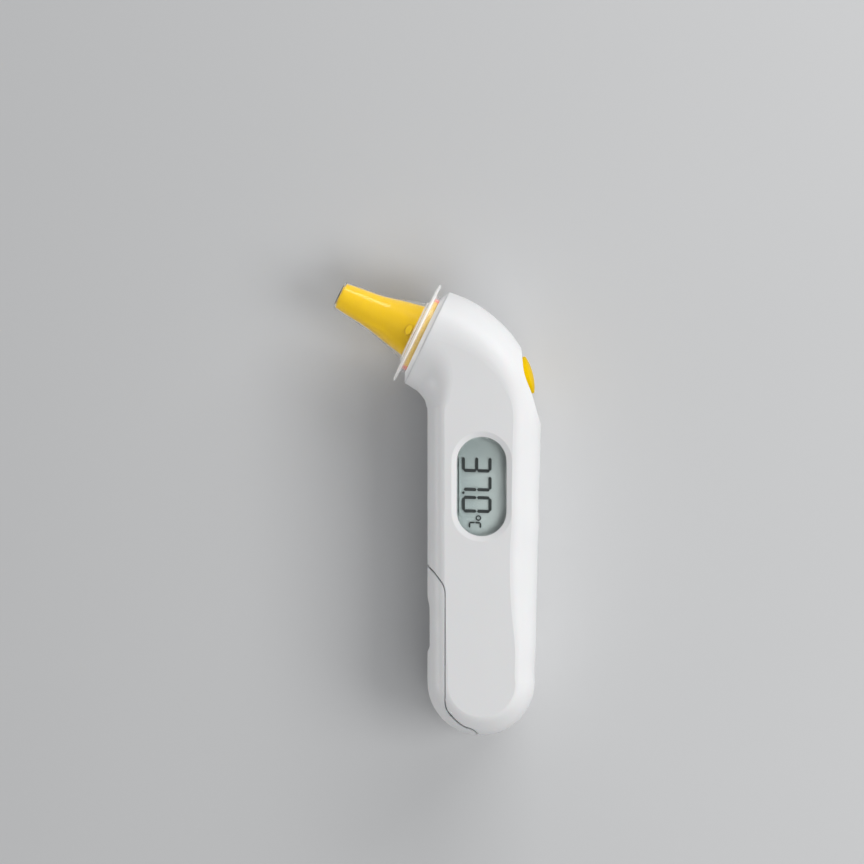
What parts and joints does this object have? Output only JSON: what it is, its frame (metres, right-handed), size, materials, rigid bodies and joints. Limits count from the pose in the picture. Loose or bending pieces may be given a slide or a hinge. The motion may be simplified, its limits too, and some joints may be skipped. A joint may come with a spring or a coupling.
{
  "type": "digital ear thermometer",
  "caption": "Handheld infrared ear thermometer with a bent head, a probe with a clear pull-off lens filter, a display window, a side button and a sliding battery door.",
  "frame": {"origin": "centre of the handle's flat rear face, on the surface that the thermometer lies on", "axes": "+X along the handle to its rounded butt, +Y to the edge with the start button, +Z out through the display"},
  "size_m": [0.1264, 0.058, 0.03],
  "materials": {
    "white_shell": "satin gloss",
    "white_shell_rear": "satin gloss",
    "white_door": "satin gloss",
    "screw_steel": "machined",
    "label_film": "matt",
    "window_clear": "clear",
    "gasket_foam": "matt",
    "lcd_glass": "semi-gloss",
    "frame_grey": "matt",
    "zebra_rubber": "matt",
    "board_green": "semi-gloss",
    "chip_black": "matt",
    "component_tan": "matt",
    "buzzer_brass": "plain",
    "button_yellow": "satin gloss",
    "switch_black": "matt",
    "plunger_white": "matt",
    "white_nose": "satin gloss",
    "nozzle_yellow": "satin",
    "lug_orange": "satin",
    "seal_orange": "matt",
    "filter_clear": "clear",
    "pin_yellow": "satin",
    "detector_black": "matt",
    "holder_metal": "machined",
    "sensor_can": "plated",
    "waveguide_gold": "plated",
    "sensor_window": "polished",
    "board_green_small": "semi-gloss",
    "ribbon_amber": "semi-gloss",
    "cell_steel": "brushed",
    "tray_white": "matt",
    "contact_nickel": "plated",
    "contact_nickel_positive": "plated"
  },
  "bodies": {
    "housing": {"front_shell": "white_shell", "rear_shell": "white_shell_rear", "shell_screws": "screw_steel", "rating_label": "label_film", "display_window": "window_clear", "window_gasket": "gasket_foam", "lcd_panel": "lcd_glass", "lcd_frame": "frame_grey", "zebra_connectors": "zebra_rubber", "main_pcb": "board_green", "microcontroller": "chip_black", "pcb_components": "component_tan", "piezo_buzzer": "buzzer_brass", "start_switch": "switch_black", "nose_ring": "white_nose", "probe_nozzle": "nozzle_yellow", "retention_lugs": "lug_orange", "nozzle_seal": "seal_orange", "detector_switch": "detector_black", "sensor_holder": "holder_metal", "thermopile_sensor": "sensor_can", "waveguide": "waveguide_gold", "probe_window": "sensor_window", "sensor_board": "board_green_small", "sensor_ribbon": "ribbon_amber", "coin_cell": "cell_steel", "battery_tray": "tray_white", "battery_contact_negative": "contact_nickel", "battery_contact_positive": "contact_nickel_positive"},
    "door": {"battery_door": "white_door"},
    "button": {"start_button": "button_yellow", "start_switch_plunger": "plunger_white"},
    "filter": {"lens_filter": "filter_clear"},
    "detector_pin": {"filter_detector_pin": "pin_yellow"}
  },
  "joints": [
    {"name": "battery_door_slide", "type": "slide", "parent": "housing", "child": "door", "axis": [1, 0, 0], "range_m": [0, 0.052]},
    {"name": "start_button_press", "type": "slide", "parent": "housing", "child": "button", "axis": [0.2419, -0.9703, 0], "range_m": [0, 0.0007], "stiffness_N_per_m": 500, "springref_m": -0.0006},
    {"name": "lens_filter_pull", "type": "slide", "parent": "housing", "child": "filter", "axis": [-0.4384, -0.8988, 0], "range_m": [0, 0.035]},
    {"name": "filter_detector_press", "type": "slide", "parent": "housing", "child": "detector_pin", "axis": [0, 0, -1], "range_m": [0, 0.0004], "stiffness_N_per_m": 100, "springref_m": -0.0004}
  ]
}
